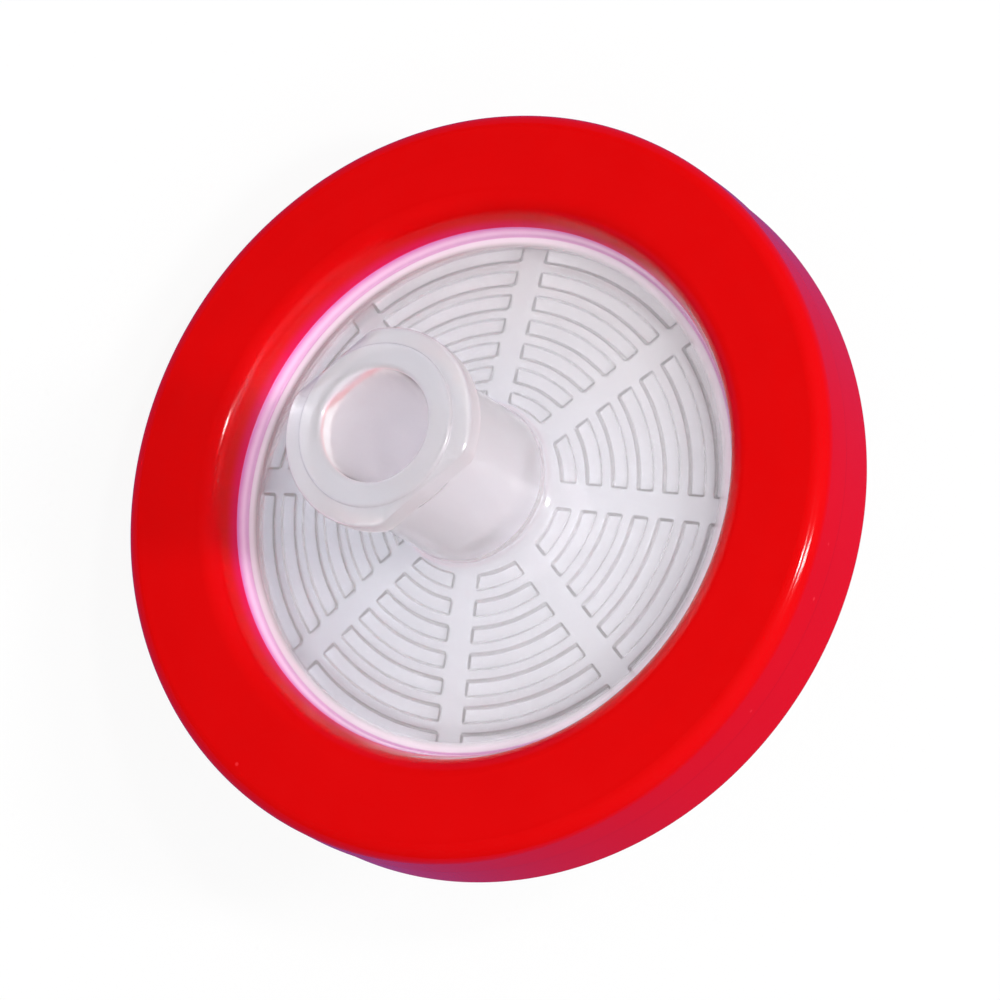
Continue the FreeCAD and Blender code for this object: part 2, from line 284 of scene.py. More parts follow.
# the rows step up together with the plate's slope, and each row has one flat crest
row_start = RIB_START + RIB_PITCH * np.arange(ROWS)
rib_radius = (row_start[:, None] + across_rib).ravel()
rib_rise = np.tile(rise_across, ROWS)
rib_crest = np.repeat(plate_top(row_start) - INLET_WALL - RIB_DROP, len(across_rib))
print(f"{ROWS} rows with {len(across_rib)} grid lines each")


# %% Cut rows into arcs
SPOKES = 8  # straight channels across the rows
CHANNEL_WIDTH = 1.07
CHANNEL_LINES = np.array([[-0.54, 0.0, 0.54]])  # a channel's grid lines, as shares of its edge


def sector_angles(radius, half_width, sectors, bevel, inner=9):
    """Angles round the axis whose grid lines follow the straight edges of radial channels.

    A channel edge lies half_width from the channel's middle line, so at a radius its angle is
    asin(half_width / radius). Seven lines cross each edge's bevel, and the rest share the arc.
    Returns the angles and, for each, how much of a rib is left: 0 in a channel, 1 on an arc.
    """
    radius = np.asarray(radius, dtype=float)[:, None]
    sector = 2 * np.pi / sectors
    edge = np.arcsin((half_width + across_flank[None, :] * bevel) / radius)
    channel = CHANNEL_LINES * edge[:, :1]
    inside = np.linspace(0, 1, inner + 2)[None, 1:-1]
    arc = edge[:, -1:] + (sector - 2 * edge[:, -1:]) * inside
    one = np.concatenate([channel, edge, arc, sector - edge[:, ::-1]], axis=1)
    keep = np.concatenate([np.zeros(channel.shape[1]), up_flank, np.ones(inner), up_flank[::-1]])
    start = np.arange(sectors)[None, :, None] * sector
    angles = (one[:, None, :] + start).reshape(len(radius), -1)
    return angles, np.tile(keep, sectors)[None, :]


first_row, _ = sector_angles([RIB_START], CHANNEL_WIDTH / 2, SPOKES, FLANK)
print("a row has", first_row.size, "grid lines round the axis")

# %% Draw the inlet half's section
CHAMBER = 10.45  # radius of the hollow between the halves
FLOOR_CORNER = (10.42, 1.32)  # radius and height where the window's wall meets its floor
BARREL = 3.2  # the socket's outer radius
LUG = 3.9  # the lugs' outer radius, and the four heights of their section
LUG_FOOT, LUG_BACK, LUG_SHOULDER, LUG_TOP = 9.66, 10.0, 10.85, 11.0
MOUTH = 2.21
SOCKET_END, SOCKET_FLOOR = 1.925, 3.65  # the tapered hole's last radius, and its floor's height
PASSAGE = 1.2

inlet_corners = [
    (CHAMBER, -BITE, 0.03),
    (FLANGE, -BITE, 0.03),
    (FLANGE, FLANGE_FRONT, 0.03),
    (LIP_FOOT, FLANGE_FRONT, 0.05),
    (*FLOOR_CORNER, 0.06),
    (BARREL, plate_top(BARREL), 0.45),
    (BARREL, LUG_FOOT, 0.06),
    (LUG, LUG_BACK, 0.08),
    (LUG, LUG_SHOULDER, 0.2),
    (BARREL, LUG_TOP, 0.05),
    (BARREL, MOUTH_HEIGHT, 0.12),
    (MOUTH, MOUTH_HEIGHT, 0.22),
    (SOCKET_END, SOCKET_FLOOR, 0.08),
    (PASSAGE, SOCKET_FLOOR, 0.08),
    (PASSAGE, plate_top(PASSAGE) - INLET_WALL, 0.25),
    (CHAMBER, plate_top(CHAMBER) - INLET_WALL, 0.35),
]
inlet_outline = rounded_section(inlet_corners)
points_per_corner = len(inlet_outline) // len(inlet_corners)
# the ribs lie between the passage and the chamber's corner, which is the last one
before_ribs, after_ribs = np.split(inlet_outline, [-points_per_corner])
print(f"the inlet half's outline has {len(inlet_outline)} points")

# %% Turn the inlet half
LUG_FLAT = 3.3  # distance of the flats between the lugs from the axis
LUG_BAND = 9.5  # over this height the section is the lugs and the mouth

section_radius = np.concatenate([before_ribs[:, 0], rib_radius, after_ribs[:, 0]])
section_height = np.concatenate([before_ribs[:, 1], plate_top(rib_radius) - INLET_WALL,
                                 after_ribs[:, 1]])
section_rise = np.concatenate([np.zeros(len(before_ribs)), rib_rise, np.zeros(len(after_ribs))])
section_crest = np.concatenate([before_ribs[:, 1], rib_crest, after_ribs[:, 1]])

# inside the first row the channels would cross, so their lines turn with the first row's
warp_radius = np.clip(section_radius, RIB_START, None)
angles, kept = sector_angles(warp_radius, CHANNEL_WIDTH / 2, SPOKES, FLANK)
rise = section_rise[:, None] * kept
height = section_height[:, None] + (section_crest - section_height)[:, None] * rise

# two flats cut the lug band, so its radius never passes the flat's distance / sin(angle)
reach = LUG_FLAT / np.maximum(np.abs(np.sin(angles)), 1e-6)
in_band = (section_height > LUG_BAND) & (section_radius > BARREL)
radius = np.minimum(section_radius[:, None],
                    np.where(in_band[:, None], np.maximum(reach, BARREL), np.inf))

# rise times what is missing of it is a quarter halfway up a rib's side, so this peaks there at 1
on_flank = 4 * rise * (1 - rise)
inlet_half = closed_grid("inlet_half", radius, height, angles, on_flank)

# %% [markdown]
# ## The outlet half
#
# The outlet half faces the bench. It has the same coned plate, sixteen straight ribs that hold
# the membrane up, a short collar and the tapered luer tip. It could be turned without its ribs,
# because little of them shows, but a bare plate would let more light through. It is the same kind
# of grid: only the ribs are straight, so each one is what is left between two wide channels.

# %% Draw the outlet half's section
OUTLET_FLOOR = -0.55
OUTLET_WALL = 0.8
MEMBRANE_BACK = -0.2 + BITE
MEMBRANE_SEAT = 12.55  # radius of the step that the membrane lies in
COLLAR, COLLAR_LENGTH = 3.0, 1.0
TIP_ROOT, TIP_END, TIP_LENGTH = 2.214, 1.98, 7.8
TIP_BORE = 1.0


def plate_under(radius):
    """Height of the outlet plate's outer face: below its floor by the wall and the cone's rise."""
    return OUTLET_FLOOR - OUTLET_WALL - (FLOOR_EDGE - radius) * CONE


collar_end = plate_under(COLLAR) - COLLAR_LENGTH
tip_end = collar_end - TIP_LENGTH
outlet_outline = rounded_section([
    (CHAMBER, OUTLET_FLOOR, 0.1),
    (CHAMBER, MEMBRANE_BACK, 0.02),
    (MEMBRANE_SEAT, MEMBRANE_BACK, 0.02),
    (MEMBRANE_SEAT, 0.0, 0.02),
    (FLANGE, 0.0, 0.03),
    (FLANGE, FLANGE_BACK, 0.03),
    (BACK_HOLE, FLANGE_BACK, 0.05),
    (BACK_HOLE, plate_under(BACK_HOLE), 0.12),
    (COLLAR, plate_under(COLLAR), 0.3),
    (COLLAR, collar_end, 0.2),
    (TIP_ROOT, collar_end, 0.06),
    (TIP_END, tip_end, 0.12),
    (TIP_BORE, tip_end, 0.08),
    (TIP_BORE, OUTLET_FLOOR, 0.2),
])
print(f"the tip ends {-tip_end:.2f} mm under the joint")

# %% Turn the outlet half
OUTLET_RIBS = 16
OUTLET_RIB_HALF = 0.225  # half of a rib's width
OUTLET_RIB_BEVEL = 0.1
RIB_NEAR, RIB_FAR = 3.2, 10.1
RAMP = 0.1  # length over which a rib rises at either end
PLAIN_START, PLAIN_END = 4, 9.4  # the plain stretch, which needs few grid lines

# grid lines from the bore outwards: close together on both ramps, wide apart between them
rib_line = np.concatenate([[RIB_NEAR], RIB_NEAR + RAMP * np.linspace(0.1, 1, 5),
                           np.linspace(PLAIN_START, PLAIN_END, 6),
                           RIB_FAR - RAMP + RAMP * np.linspace(0, 1, 6)])
line_rise = np.interp(rib_line, [RIB_NEAR, RIB_NEAR + RAMP, RIB_FAR - RAMP, RIB_FAR],
                      [0, 1, 1, 0])
under_radius = np.concatenate([outlet_outline[:, 0], rib_line])
under_height = np.concatenate([outlet_outline[:, 1], np.full(len(rib_line), OUTLET_FLOOR)])
under_rise = np.concatenate([np.zeros(len(outlet_outline)), eased(line_rise)])

# half a rib's share of the circle, less half the rib, is half the slot between two ribs
slot_radius = np.clip(under_radius, RIB_NEAR, None)
slot_half = slot_radius * math.sin(math.pi / OUTLET_RIBS) - OUTLET_RIB_HALF
under_angles, under_kept = sector_angles(slot_radius, slot_half[:, None], OUTLET_RIBS,
                                         OUTLET_RIB_BEVEL, inner=1)
lift = under_rise[:, None] * under_kept
under_surface = under_height[:, None] + (MEMBRANE_BACK - OUTLET_FLOOR) * lift
under_section = np.broadcast_to(under_radius[:, None], under_surface.shape)
outlet_half = closed_grid("outlet_half", under_section, under_surface, under_angles)

# %% [markdown]
# ## Finishes
#
# A finish is a small tree of nodes. Every finish on the filter starts from Object coordinates, so
# its pattern stays on the piece. A Mapping node turns those coordinates upright and centres them
# on the joint, and then distance from the axis and height over the joint say where on the filter
# a point is. The helpers below each add a few nodes and return what comes out of them.

# %% Start a finish
def finish_named(name):
    """A new material: itself, its tree, its Principled shader and its upright coordinates."""
    material = bpy.data.materials.new(name)
    material.use_nodes = True
    tree = material.node_tree
    shader = tree.nodes["Principled BSDF"]
    place = tree.nodes.new("ShaderNodeTexCoord")
    upright = tree.nodes.new("ShaderNodeMapping")
    upright.vector_type = "TEXTURE"
    upright.inputs["Location"].default_value = joint_centre
    upright.inputs["Rotation"].default_value = (lean, 0, 0)
    tree.links.new(place.outputs["Object"], upright.inputs["Vector"])
    print("finish:", name)
    return material, tree, shader, upright.outputs["Vector"]


def noise_at(tree, where, scale, detail=2.0):
    """Noise with a number of cells per metre, from 0 to 1."""
    noise = tree.nodes.new("ShaderNodeTexNoise")
    noise.inputs["Scale"].default_value = scale
    noise.inputs["Detail"].default_value = detail
    tree.links.new(where, noise.inputs["Vector"])
    return noise.outputs["Fac"]


def bumped(tree, shader, share, strength, distance):
    """Make the surface look raised by a pattern, up to a distance in metres."""
    bump = tree.nodes.new("ShaderNodeBump")
    bump.inputs["Strength"].default_value = strength
    bump.inputs["Distance"].default_value = distance
    tree.links.new(share, bump.inputs["Height"])
    tree.links.new(bump.outputs["Normal"], shader.inputs["Normal"])


# %% Measure a place on the filter
def away_from_axis(tree, where):
    """Distance of a place from the filter's axis, and its height above the welded joint."""
    split = tree.nodes.new("ShaderNodeSeparateXYZ")
    flatten = tree.nodes.new("ShaderNodeVectorMath")
    flatten.operation = "MULTIPLY"
    flatten.inputs[1].default_value = (1, 1, 0)
    length = tree.nodes.new("ShaderNodeVectorMath")
    length.operation = "LENGTH"
    tree.links.new(where, split.inputs["Vector"])
    tree.links.new(where, flatten.inputs[0])
    tree.links.new(flatten.outputs["Vector"], length.inputs[0])
    return length.outputs["Value"], split.outputs["Z"]


def step_between(tree, value, start, end):
    """Ease from 0 to 1 as a length passes from start to end, both in millimetres."""
    ease = tree.nodes.new("ShaderNodeMapRange")
    ease.interpolation_type = "SMOOTHSTEP"
    ease.inputs["From Min"].default_value = start * MM
    ease.inputs["From Max"].default_value = end * MM
    tree.links.new(value, ease.inputs["Value"])
    return ease.outputs["Result"]


# %% Combine numbers and colours
def between(tree, share, low, high):
    """Carry a share from 0 to 1 into a range."""
    spread = tree.nodes.new("ShaderNodeMapRange")
    spread.inputs["To Min"].default_value = low
    spread.inputs["To Max"].default_value = high
    tree.links.new(share, spread.inputs["Value"])
    return spread.outputs["Result"]


def computed(tree, operation, first, second):
    """One sum on two numbers, of which the second may be plain."""
    node = tree.nodes.new("ShaderNodeMath")
    node.operation = operation
    tree.links.new(first, node.inputs[0])
    if isinstance(second, float):
        node.inputs[1].default_value = second
    else:
        tree.links.new(second, node.inputs[1])
    return node.outputs["Value"]


def band_between(tree, value, start, full, fading, end):
    """1 from full to fading, eased to 0 at start and end: a rising step times a falling one."""
    return computed(tree, "MULTIPLY", step_between(tree, value, start, full),
                    step_between(tree, value, end, fading))


def mixed(tree, share, first, second):
    """Mix two colours by a share. Each is three plain numbers or comes out of another node."""
    mix = tree.nodes.new("ShaderNodeMix")
    mix.data_type = "RGBA"
    tree.links.new(share, mix.inputs["Factor"])
    for side, colour in (("A", first), ("B", second)):
        if isinstance(colour, tuple):
            mix.inputs[side].default_value = (*colour, 1)
        else:
            tree.links.new(colour, mix.inputs[side])
    return mix.outputs["Result"]


# %% [markdown]
# ## Red polypropylene
#
# The ring is pigmented polypropylene straight from a polished mould: an even strong red with a
# soft gloss. One flat red would do from afar. Close up, the pigment has flowed a little unevenly
# and a few specks of dust lie on it. The colour also holds painted light and shade: a darker band
# along the parting line is painted shade in the gap under the mould's step, and a pinker lip is
# painted light reflected from the clear plastic beside it. The roughness is low. The specular
# level is low too, because a red that mirrored more of the white room would look faded.

# %% Mix the red
RED_COLOURS = (0.48, 0.0006, 0.001), (0.51, 0.0008, 0.0013)
FLOW_CELLS = 300  # cells per metre, as in every pattern below
DUST_COLOUR = (0.6, 0.018, 0.022)
DUST_CELLS = 420
DUST_OVER = 0.62  # only a cell with a random red value over this holds a speck
SPECK = 45, 20  # its edge and its full middle, in thousandths of a cell

red, red_tree, red_shader, red_place = finish_named("red_polypropylene")
red_from_axis, red_height = away_from_axis(red_tree, red_place)
body_red = mixed(red_tree, noise_at(red_tree, red_place, FLOW_CELLS), *RED_COLOURS)

# a speck is the middle of a Voronoi cell; Voronoi gives the distance from there in cells, so here
# step_between, which takes thousandths of a metre, takes thousandths of a cell
specks = red_tree.nodes.new("ShaderNodeTexVoronoi")
specks.inputs["Scale"].default_value = DUST_CELLS
red_tree.links.new(red_place, specks.inputs["Vector"])
cell_colour = red_tree.nodes.new("ShaderNodeSeparateColor")
red_tree.links.new(specks.outputs["Color"], cell_colour.inputs["Color"])
in_speck = step_between(red_tree, specks.outputs["Distance"], *SPECK)
dust = computed(red_tree, "MULTIPLY", in_speck,
                computed(red_tree, "GREATER_THAN", cell_colour.outputs["Red"], DUST_OVER))
dusty_red = mixed(red_tree, dust, body_red, DUST_COLOUR)
print(f"{1 - DUST_OVER:.0%} of the cells hold a speck")

# %% Paint the lip's reflected light and the parting line's shade
LIP_PAINTED_REFLECTION = (0.54, 0.004, 0.06)
LIP_TINT_START = 10.85  # radius
PARTING_SHADE_COLOUR = (0.4, 0.0005, 0.001)
PARTING_BAND = 1.0, 1.08, 1.12, 1.2  # heights: start, full, fading, end
WALL_START, WALL_FULL = 14.5, 14.8

# the lip's pink is painted light, reflected from the clear plastic beside it
on_lip = step_between(red_tree, red_from_axis, LIP_TINT_START, LIP_FOOT)
on_wall = step_between(red_tree, red_from_axis, WALL_START, WALL_FULL)
# the parting line's darker band is painted shade in the gap under the mould's step
in_parting_shade = computed(red_tree, "MULTIPLY", band_between(red_tree, red_height, *PARTING_BAND),
                   on_wall)
lip_reflected_red = mixed(red_tree, on_lip, dusty_red, LIP_PAINTED_REFLECTION)
red_tree.links.new(mixed(red_tree, in_parting_shade, lip_reflected_red, PARTING_SHADE_COLOUR),
                   red_shader.inputs["Base Color"])
print("the lip is tinted for", round(LIP_TINT_START - LIP_FOOT, 2), "mm")

# %% Polish the red
POLYPROPYLENE_IOR = 1.49
RED_ROUGHNESS = 0.09, 0.13
GLOSS_CELLS = 1200
GRAIN_CELLS = 9000

gloss = between(red_tree, noise_at(red_tree, red_place, GLOSS_CELLS), *RED_ROUGHNESS)
red_tree.links.new(gloss, red_shader.inputs["Roughness"])
red_shader.inputs["IOR"].default_value = POLYPROPYLENE_IOR
red_shader.inputs["Specular IOR Level"].default_value = 0.22
grain = noise_at(red_tree, red_place, GRAIN_CELLS, detail=3.0)
bumped(red_tree, red_shader, grain, strength=0.12, distance=0.01 * MM)
print("red finish:", len(red_tree.nodes), "nodes")

# %% [markdown]
# ## Natural polypropylene
#
# The halves have no pigment, so light passes into them, is scattered a little and comes out
# again. A clear shader alone would look like glass, and subsurface scattering would hide the ribs.
# So part of the light goes through, part is returned by a milky body, and a smooth coat gives the
# mould's gloss. The finish changes with the place: the socket is thicker and so milkier, and the
# sides of the ribs let a little less through. Some colours are painted light and shade: the
# ring's pink on the window's rim, wall and upper edge is painted red light, the bore is painted
# lighter, and a darker line along the wall's foot is painted shade.

# %% Find the parts of the clear moulding
SOCKET_ZONE = 2.3, 3.4  # heights over the joint; the other zones are radii
BORE_ZONE = 2.35, 2.15
RIM_ZONE = 9.9, 10.25  # the rim of the window's floor
WALL_ZONE = 10.3, 10.47  # the window's wall, and below it the line along its foot
WALL_FOOT_ZONE = 10.33, 10.4, 10.43, 10.5
EDGE_ZONE = 10.5, LIP_FOOT  # the wall's upper edge, beside the lip

clear, clear_tree, clear_shader, clear_place = finish_named("natural_polypropylene")
out_from_axis, above_joint = away_from_axis(clear_tree, clear_place)
in_socket = step_between(clear_tree, above_joint, *SOCKET_ZONE)
bore_lightened = step_between(clear_tree, out_from_axis, *BORE_ZONE)
at_rim = step_between(clear_tree, out_from_axis, *RIM_ZONE)
wall_ring_light = step_between(clear_tree, out_from_axis, *WALL_ZONE)
wall_foot_shade = band_between(clear_tree, out_from_axis, *WALL_FOOT_ZONE)
edge_ring_light = step_between(clear_tree, out_from_axis, *EDGE_ZONE)
flank_mark = clear_tree.nodes.new("ShaderNodeAttribute")
flank_mark.attribute_name = "flank"
at_flank = flank_mark.outputs["Fac"]
print("the rib sides are marked by the attribute", flank_mark.attribute_name)

# %% Colour the clear moulding, with painted light and shade
CLOUD_COLOURS = (0.985, 0.978, 0.992), (0.996, 0.99, 1.0)
CLOUD_CELLS = 250

clear_colour = mixed(clear_tree, noise_at(clear_tree, clear_place, CLOUD_CELLS), *CLOUD_COLOURS)
tints = (
    (at_flank, (1.0, 0.95, 1.0)),
    (in_socket, (0.94, 0.922, 0.945)),
    # the bore's lighter pink is painted light inside the socket
    (bore_lightened, (1.0, 0.965, 0.985)),
    # the rim's, the wall's and the upper edge's pinks are painted red light from the ring
    (at_rim, (0.98, 0.88, 0.95)),
    (wall_ring_light, (1.0, 0.6, 0.85)),
    (edge_ring_light, (0.8, 0.2, 0.55)),
    # the darker line along the wall's foot is painted shade
    (wall_foot_shade, (0.8, 0.42, 0.68)),
)
for share, tint in tints:
    clear_colour = mixed(clear_tree, share, clear_colour, tint)
clear_tree.links.new(clear_colour, clear_shader.inputs["Base Color"])
print("the clear colour carries", len(tints), "tints")

# %% Let light through the clear moulding
LET_THROUGH = 0.8, 0.78  # by the plate, and by the socket
CLEAR_ROUGHNESS = 0.17, 0.29  # of the plate, and of the socket
FROSTED_FLANK = 0.15  # how frosted a rib's side is, where the rim is 1
FROSTED_SHARE = 0.35  # what a frosted place lets through of what a clear one does
RIPPLE_CELLS = 1500

frosted = computed(clear_tree, "MAXIMUM", at_rim,
                   computed(clear_tree, "MULTIPLY", at_flank, FROSTED_FLANK))
let_through = computed(clear_tree, "MULTIPLY", between(clear_tree, in_socket, *LET_THROUGH),
                       between(clear_tree, frosted, 1.0, FROSTED_SHARE))
clear_tree.links.new(let_through, clear_shader.inputs["Transmission Weight"])
clear_tree.links.new(between(clear_tree, in_socket, *CLEAR_ROUGHNESS),
                     clear_shader.inputs["Roughness"])
clear_shader.inputs["Coat Weight"].default_value = 0.9
clear_shader.inputs["Coat Roughness"].default_value = 0.04
clear_shader.inputs["IOR"].default_value = POLYPROPYLENE_IOR
ripple = noise_at(clear_tree, clear_place, RIPPLE_CELLS)
bumped(clear_tree, clear_shader, ripple, strength=0.05, distance=0.02 * MM)
print("clear finish:", len(clear_tree.nodes), "nodes")

# %% [markdown]
# ## The membrane
#
# The membrane is a thin white sheet with pores far too small to see. It is matt, and it is what
# makes the window look white. A plain white would be enough under even light. Here fine noise
# stands for the pores, and two broad tints, one cool and one warm, stand for the light that the
# bench and the ring throw under the plate.

# %% Make the membrane's finish
PORE_COLOURS = (0.93, 0.94, 0.97), (0.96, 0.97, 1.0)
COOL_COLOUR = (0.83, 0.88, 0.97)
WARM_COLOUR = (0.93, 0.9, 0.9)
COOL_SIDE, WARM_SIDE = (0.25, -0.97, 0), (-0.97, -0.25, 0)
COOL_SPAN, WARM_SPAN = (-3, 9), (1, 9)  # where each tint starts and is full, along its side
PORE_CELLS = 20000

sheet, sheet_tree, sheet_shader, sheet_place = finish_named("porous_membrane")
pores = noise_at(sheet_tree, sheet_place, PORE_CELLS, detail=4.0)


def across_sheet(direction, start, end):
    """Ease from 0 to 1 along a direction in the membrane's plane, in millimetres."""
    along = sheet_tree.nodes.new("ShaderNodeVectorMath")
    along.operation = "DOT_PRODUCT"
    along.inputs[1].default_value = direction
    sheet_tree.links.new(sheet_place, along.inputs[0])
    return step_between(sheet_tree, along.outputs["Value"], start, end)


pore_colour = mixed(sheet_tree, pores, *PORE_COLOURS)
cool = mixed(sheet_tree, across_sheet(COOL_SIDE, *COOL_SPAN), pore_colour, COOL_COLOUR)
warm = mixed(sheet_tree, across_sheet(WARM_SIDE, *WARM_SPAN), cool, WARM_COLOUR)
sheet_tree.links.new(warm, sheet_shader.inputs["Base Color"])
sheet_shader.inputs["Roughness"].default_value = 0.8
bumped(sheet_tree, sheet_shader, pores, strength=0.3, distance=0.02 * MM)
print("membrane finish:", len(sheet_tree.nodes), "nodes")

# %% [markdown]
# ## Pieces and the CAD nodes
#
# The ring and both halves stand for the CAD nodes of the same pieces, which stay hidden behind
# them for collision. The membrane could be rebuilt as well, but a flat disc gains nothing from
# it, so its CAD node stays and only gets a better finish.

# %% Give every piece its finish and its body
for piece, finish, node, slot in (
    (red_ring, red, "ring", "ring"),
    (inlet_half, clear, "inlet_housing", "housing"),
    (outlet_half, clear, "outlet_housing", "housing"),
):
    piece.data.materials.append(finish)
    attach(piece, "root")
    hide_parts(node)
    print(f"{piece.name} stands for {node}")

membrane_materials = frame["nodes"]["membrane"].data.materials
membrane_materials.clear()
membrane_materials.append(sheet)

# %% [markdown]
# ## The bench
#
# The bench is a plain white floor. A bright floor could be had from more light, but that would
# wash out the filter. So Light Path tells the kinds of ray apart: the camera, and rays that came
# through the plastic, see a floor that mostly glows white and keeps a soft shadow, rays that
# carry light to the filter see a mid grey one, and mirror rays see a dim violet that keeps the
# red deep.

# %% Tell rays apart
def ray_kind(tree, operation, first_kind, second_kind):
    """Combine two kinds of ray into one number from 0 to 1."""
    ray = tree.nodes.new("ShaderNodeLightPath")
    both = tree.nodes.new("ShaderNodeMath")
    both.operation = operation
    both.use_clamp = True
    tree.links.new(ray.outputs[first_kind], both.inputs[0])
    tree.links.new(ray.outputs[second_kind], both.inputs[1])
    return both.outputs["Value"]


def mirror_ray(tree):
    """1 for a ray that was mirrored and 0 for one that a rough surface bent, which is both kinds."""
    return ray_kind(tree, "SUBTRACT", "Is Glossy Ray", "Is Transmission Ray")


def blended(tree, share, first, second):
    """Blend two shaders by a share."""
    blend = tree.nodes.new("ShaderNodeMixShader")
    tree.links.new(share, blend.inputs["Fac"])
    tree.links.new(first, blend.inputs[1])
    tree.links.new(second, blend.inputs[2])
    return blend.outputs["Shader"]


# %% Lay the floor
FLOOR_HALF = 1.5
GREY_FOR_LIGHT = (0.42, 0.42, 0.42)
GREY_SEEN = (0.6, 0.6, 0.6)
GLOW_SHARE = 0.9
MIRRORED_COLOUR = (0.2, 0.09, 0.34, 1)

floor_mesh = bpy.data.meshes.new("floor")
floor_mesh.from_pydata([(-FLOOR_HALF, -FLOOR_HALF, 0), (FLOOR_HALF, -FLOOR_HALF, 0),
                        (FLOOR_HALF, FLOOR_HALF, 0), (-FLOOR_HALF, FLOOR_HALF, 0)],
                       [], [(0, 1, 2, 3)])
floor = bpy.data.objects.new("floor", floor_mesh)
bpy.context.scene.collection.objects.link(floor)

bench = bpy.data.materials.new("white_bench")
bench.use_nodes = True
bench_tree = bench.node_tree
bench_shader = bench_tree.nodes["Principled BSDF"]
bench_shader.inputs["Roughness"].default_value = 0.9
bench_shader.inputs["Specular IOR Level"].default_value = 0.0
bench_seen = ray_kind(bench_tree, "MAXIMUM", "Is Camera Ray", "Is Transmission Ray")
bench_tree.links.new(mixed(bench_tree, bench_seen, GREY_FOR_LIGHT, GREY_SEEN),
                     bench_shader.inputs["Base Color"])
white_glow = bench_tree.nodes.new("ShaderNodeEmission")
dim_glow = bench_tree.nodes.new("ShaderNodeEmission")
dim_glow.inputs["Color"].default_value = MIRRORED_COLOUR
lit_bench = blended(bench_tree, computed(bench_tree, "MULTIPLY", bench_seen, GLOW_SHARE),
                    bench_shader.outputs["BSDF"], white_glow.outputs["Emission"])
whole_bench = blended(bench_tree, mirror_ray(bench_tree), lit_bench,
                      dim_glow.outputs["Emission"])
bench_tree.links.new(whole_bench, bench_tree.nodes["Material Output"].inputs["Surface"])
floor_mesh.materials.append(bench)
print("the floor is", 2 * FLOOR_HALF, "m wide")

# %% [markdown]
# ## Camera
#
# The camera stands almost straight above, a little in front and turned about its own axis, with
# a long lens. Aiming it at a point would leave the turn to chance. Instead two angles say how the
# filter's axis looks from the camera, and the camera's own directions follow from them, because
# the same three directions are known both as seen and as they lie.

# %% Place the camera
TILT = math.radians(29.923)  # between the filter's axis and the line of sight
SWING = math.radians(31.406)  # which way the axis tilts, as seen
CENTRE_SEEN = (0.0196, 0.0560, 234.1173)  # the joint's centre: right, down and forward, in mm
LENS, SENSOR = 216, 36  # focal length and sensor width, in mm

tilt_sine, tilt_cosine = math.sin(TILT), math.cos(TILT)
swing_sine, swing_cosine = math.sin(SWING), math.cos(SWING)
# the filter's axis and the uphill direction in its plane, as the camera sees them
axis_seen = Vector((-tilt_sine * swing_cosine, -tilt_sine * swing_sine, -tilt_cosine))
uphill_seen = Vector((tilt_cosine * swing_cosine, tilt_cosine * swing_sine, -tilt_sine))
across_seen = axis_seen.cross(uphill_seen)
# the same three directions where the filter lies
uphill = Vector((0, math.cos(lean), math.sin(lean)))
across = Vector((-1, 0, 0))
seen = Matrix((axis_seen, uphill_seen, across_seen))
lies = Matrix((axis, uphill, across))
right, down, forward = (lies.transposed() @ Vector(column) for column in seen.transposed())

offset = (right * CENTRE_SEEN[0] + down * CENTRE_SEEN[1] + forward * CENTRE_SEEN[2]) * MM
camera = bpy.data.objects.new("camera", bpy.data.cameras.new("camera"))
camera.data.lens = LENS
camera.data.sensor_width = SENSOR
camera.data.clip_start = 0.01
camera.location = joint_centre - offset
camera.rotation_euler = Matrix((right, -down, -forward)).transposed().to_euler()
bpy.context.scene.collection.objects.link(camera)
bpy.context.scene.camera = camera
print("camera at", [round(v, 4) for v in camera.location])

# %% [markdown]
# ## The room
#
# A white room gives most of the light, and it is brighter overhead than below. An even room would
# be simpler, but then the ribs would hardly show. As on the bench, each kind of ray sees its own
# room. Rays that came through the plastic also see a small bright patch, because the light of a
# small lamp is hardly ever found through a refracting surface. Mirror rays see a dark room with a
# pink side, and the camera sees plain white.

# %% Start the room
world = bpy.data.worlds.new("white_room")
bpy.context.scene.world = world
world.use_nodes = True
room_tree = world.node_tree
sky = room_tree.nodes.new("ShaderNodeTexCoord").outputs["Generated"]  # a ray's direction


def as_seen(across, below, beyond):
    """A direction given by how far it goes to the camera's right, down and forward."""
    return right * across + down * below + forward * beyond


def lit_side(towards, start, end, low, high, ramp="SMOOTHSTEP"):
    """Level of the room by direction: low to high as the cosine to a direction passes a range."""
    cosine = room_tree.nodes.new("ShaderNodeVectorMath")
    cosine.operation = "DOT_PRODUCT"
    cosine.inputs[1].default_value = towards.normalized()
    room_tree.links.new(sky, cosine.inputs[0])
    level = room_tree.nodes.new("ShaderNodeMapRange")
    level.interpolation_type = ramp
    for name, value in (("From Min", start), ("From Max", end), ("To Min", low), ("To Max", high)):
        level.inputs[name].default_value = value
    room_tree.links.new(cosine.outputs["Value"], level.inputs["Value"])
    return level.outputs["Result"]


# %% Light the room
ROOM_LOW = 0.62
ROOM_HIGH = 1.34
PATCH_LEVEL = 11.0
PATCH_EDGE = math.cos(math.radians(15))
PATCH_FULL = math.cos(math.radians(9))
THROUGH_PLASTIC_TINT = (1.0, 0.99, 1.05)
MIRRORED_ROOM = (0.004, 0.004, 0.005), (0.22, 0.09, 0.22)
WHITE = (1, 1, 1)

OVERHEAD = as_seen(0.3, 0, -1)
PATCH = as_seen(0.49, 0.05, -0.73)
PINK_SIDE = as_seen(0.9, 0, -0.5)

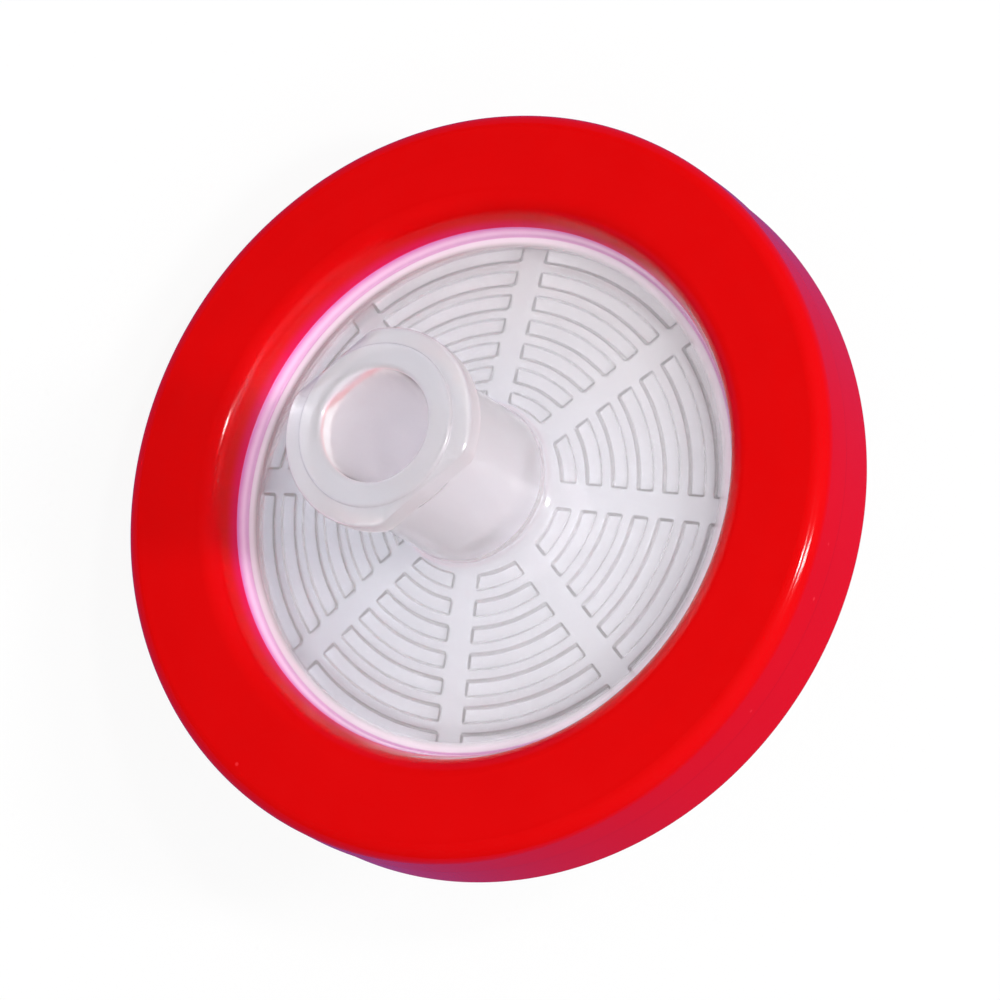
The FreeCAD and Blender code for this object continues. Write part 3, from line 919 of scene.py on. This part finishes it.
plain = lit_side(OVERHEAD, start=-1, end=1, low=ROOM_LOW, high=ROOM_HIGH, ramp="LINEAR")
patch_light = lit_side(PATCH, PATCH_EDGE, PATCH_FULL, low=0, high=PATCH_LEVEL)
through_plastic = room_tree.nodes.new("ShaderNodeVectorMath")
through_plastic.operation = "SCALE"
through_plastic.inputs[0].default_value = THROUGH_PLASTIC_TINT
room_tree.links.new(computed(room_tree, "ADD", plain, patch_light),
                    through_plastic.inputs["Scale"])
pink_share = lit_side(PINK_SIDE, start=-0.2, end=1, low=0, high=1)
mirrored = mixed(room_tree, pink_share, *MIRRORED_ROOM)

ray_is = room_tree.nodes.new("ShaderNodeLightPath").outputs
room_light = mixed(room_tree, ray_is["Is Transmission Ray"], plain,
                   through_plastic.outputs["Vector"])
room_light = mixed(room_tree, mirror_ray(room_tree), room_light, mirrored)
room_light = mixed(room_tree, ray_is["Is Camera Ray"], room_light, WHITE)
room_tree.links.new(room_light, room_tree.nodes["Background"].inputs["Color"])
print("room:", len(room_tree.nodes), "nodes")

# %% [markdown]
# ## Lamps
#
# The ring shows two bright streaks, one on its rounded outer edge and one on the lip across the
# window. Both come from small lamps to the right of the camera. One lamp could make both, but the
# socket shades the left lip from it, so a second one shines past the socket's end.

# %% Hang the lamps
LAMP_DISTANCE = 0.35


def soft_lamp(name, towards, wide, high, level):
    """A rectangular lamp that faces the filter, with its width along the camera's right.

    A lamp with sides w and h and power p shines with the radiance p / (pi * w * h), so the power
    that gives a level is pi times both sides times that level.
    """
    lamp = bpy.data.lights.new(name, "AREA")
    lamp.shape = "RECTANGLE"
    lamp.size = wide
    lamp.size_y = high
    lamp.energy = math.pi * wide * high * level
    holder = bpy.data.objects.new(name, lamp)
    way = towards.normalized()
    side = (right - way * right.dot(way)).normalized()
    holder.location = joint_centre + way * LAMP_DISTANCE
    holder.rotation_euler = Matrix((side, way.cross(side), way)).transposed().to_euler()
    bpy.context.scene.collection.objects.link(holder)
    print(f"{name}: {lamp.energy:.4f} W")


soft_lamp("key_lamp", as_seen(0.605, -0.073, -0.793), wide=0.09, high=0.036, level=56)
soft_lamp("lip_lamp", as_seen(0.285, -0.19, -0.94), wide=0.034, high=0.026, level=110)

# %% [markdown]
# ## How far light is followed
#
# Light that enters the clear halves crosses several walls before it leaves them. Too few bounces
# turn the socket grey. More than these brighten it only a little, and every one of them takes
# time. Gloss isn't blurred after a bounce, so the small bright patch stays sharp.

# %% Set the bounces
cycles = bpy.context.scene.cycles
cycles.blur_glossy = 0.0
cycles.max_bounces = 8
cycles.diffuse_bounces = 3
cycles.glossy_bounces = 3
cycles.transmission_bounces = 8
print("light is followed for", cycles.max_bounces, "bounces")
bpy.context.scene.view_settings.view_transform = "Standard"
